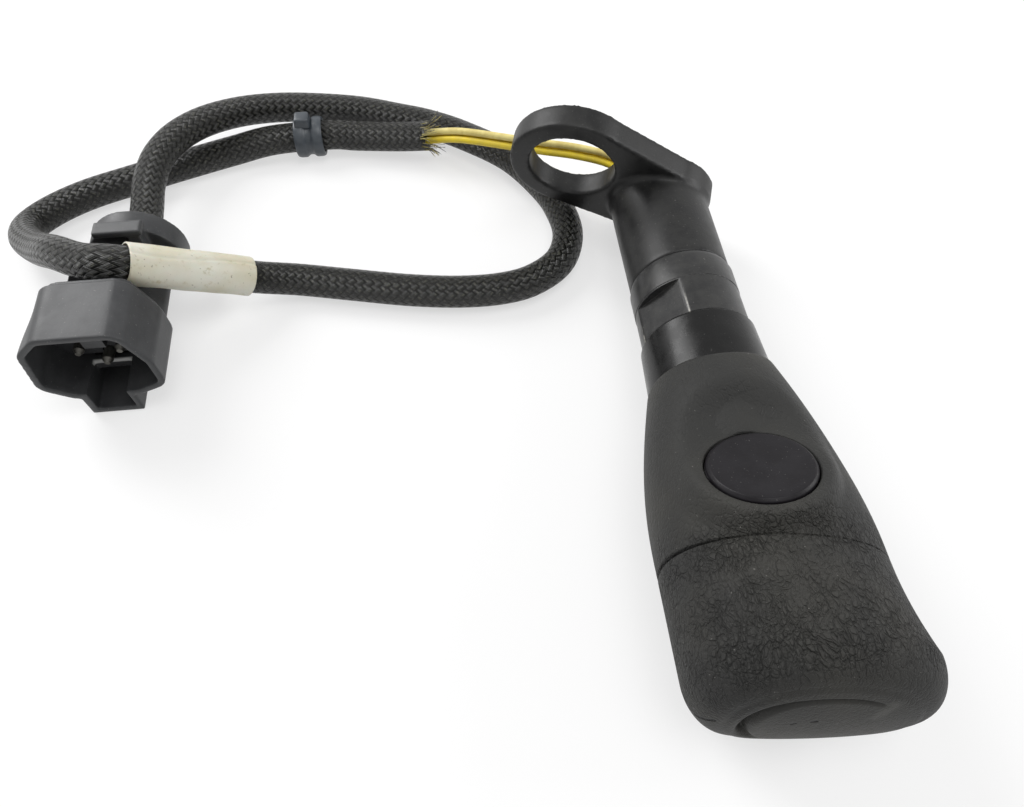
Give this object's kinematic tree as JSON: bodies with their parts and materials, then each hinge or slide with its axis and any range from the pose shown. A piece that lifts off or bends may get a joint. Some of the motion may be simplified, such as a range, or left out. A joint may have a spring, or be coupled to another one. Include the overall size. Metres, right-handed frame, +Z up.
{
  "type": "industrial joystick",
  "caption": "Industrial joystick: padded hand grip with a push button on a cranked eye lug arm, with a braided lead and a sealed multi-way plug.",
  "frame": {"origin": "middle of the lever's bounding box, on the surface it lies on", "axes": "+Y along the lever from the grip to the lug, +Z up out of the button side, +X to the right seen from the grip end"},
  "size_m": [0.1957, 0.1902, 0.0411],
  "materials": {
    "arm_black": "satin black coating on steel, worn grey at the edges",
    "adapter_black": "semi-gloss black, bright worn line at the flats",
    "collar_black": "smooth semi-gloss black",
    "zinc_steel": "bare steel",
    "grip_foam": "charcoal grey moulded skin, finely wrinkled",
    "carrier_plastic": "dark glass-filled nylon",
    "switch_plastic": "black nylon",
    "base_plastic": "brown phenolic",
    "contact_metal": "tinned brass",
    "ring_metal": "spring steel",
    "seal_rubber": "black rubber",
    "cap_plastic": "smooth satin black",
    "plunger_plastic": "natural acetal",
    "wire_yellow": "yellow wire insulation",
    "wire_white": "white wire insulation, aged",
    "braid": "black monofilament braid",
    "marker": "off-white heat-shrink sleeve, soiled",
    "tie_nylon": "dark blue-grey nylon",
    "connector_plastic": "dark grey satin nylon",
    "lock_plastic": "dark grey nylon",
    "pin_metal": "tin plated",
    "seal_silicone": "brown silicone"
  },
  "bodies": {
    "lever": {"lever_arm": "arm_black", "adapter_nut": "adapter_black", "grip_collar": "collar_black", "core_tube": "zinc_steel", "grip_body": "grip_foam", "grip_heel": "grip_foam", "switch_carrier": "carrier_plastic", "switch_housing": "switch_plastic", "switch_base": "base_plastic", "switch_terminals": "contact_metal", "retaining_ring": "ring_metal", "housing_seal": "seal_rubber", "return_spring": "ring_metal", "wire_grommet": "seal_rubber", "wire_yellow_a": "wire_yellow", "wire_yellow_b": "wire_yellow", "wire_white": "wire_white", "braided_sleeve": "braid", "marker_sleeve": "marker", "cable_tie": "tie_nylon", "connector_housing": "connector_plastic", "wedge_lock": "lock_plastic", "contact_pins": "pin_metal", "rear_seal": "seal_silicone", "rear_boot": "connector_plastic"},
    "button": {"button_cap": "cap_plastic", "plunger": "plunger_plastic", "moving_contact": "contact_metal"}
  },
  "joints": [
    {"name": "button_press", "type": "slide", "parent": "lever", "child": "button", "axis": [0, -0.3443, -0.9389], "range_m": [0, 0.0024], "stiffness_N_per_m": 900, "springref_m": -0.002, "deforming": ["return_spring"]}
  ]
}
